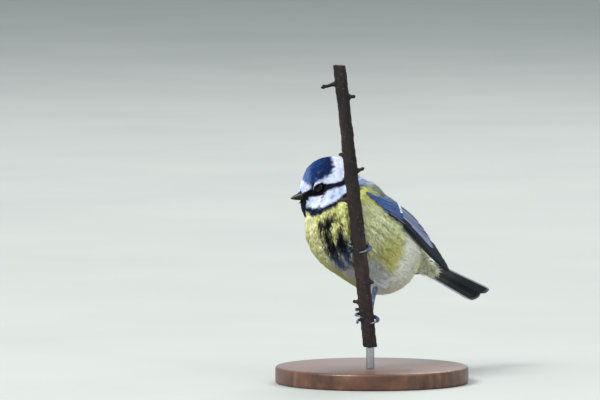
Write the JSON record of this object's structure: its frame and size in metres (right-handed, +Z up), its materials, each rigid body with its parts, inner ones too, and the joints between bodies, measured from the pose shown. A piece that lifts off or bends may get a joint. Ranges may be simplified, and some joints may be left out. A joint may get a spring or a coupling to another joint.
{
  "type": "blue tit",
  "caption": "Blue tit, life size, clinging to a cut length of near-upright twig that a rod holds over a round base.",
  "frame": {"origin": "centre of the base's underside", "axes": "+Z up, the picture's viewer looks along +Y, +X is the picture's right"},
  "size_m": [0.1036, 0.1244, 0.152],
  "materials": {
    "plumage_white": "soft matte plumage",
    "plumage_yellow": "soft matte plumage",
    "plumage_blue": "smooth feather vanes",
    "plumage_slate": "smooth feather vanes",
    "bill_horn": "satin horn",
    "eye": "glossy",
    "leg_scales": "satin scales",
    "claw_horn": "satin horn",
    "bark": "rough bark",
    "base_wood": "oiled walnut",
    "rod_steel": "brushed"
  },
  "bodies": {
    "root": {"head": "plumage_white", "neck": "plumage_yellow", "torso": "plumage_yellow", "thigh_right": "plumage_yellow", "wing_left": "plumage_blue", "wing_right": "plumage_blue", "tail": "plumage_slate", "bill_upper": "bill_horn", "bill_lower": "bill_horn", "eye_left": "eye", "eye_right": "eye", "tarsus_left": "leg_scales", "tarsus_right": "leg_scales", "foot_left": "leg_scales", "foot_right": "leg_scales", "claw_left_hallux": "claw_horn", "claw_left_inner": "claw_horn", "claw_left_middle": "claw_horn", "claw_left_outer": "claw_horn", "claw_right_hallux": "claw_horn", "claw_right_inner": "claw_horn", "claw_right_middle": "claw_horn", "claw_right_outer": "claw_horn", "perch_stem": "bark", "stand_base": "base_wood", "stand_rod": "rod_steel"}
  },
  "joints": []
}
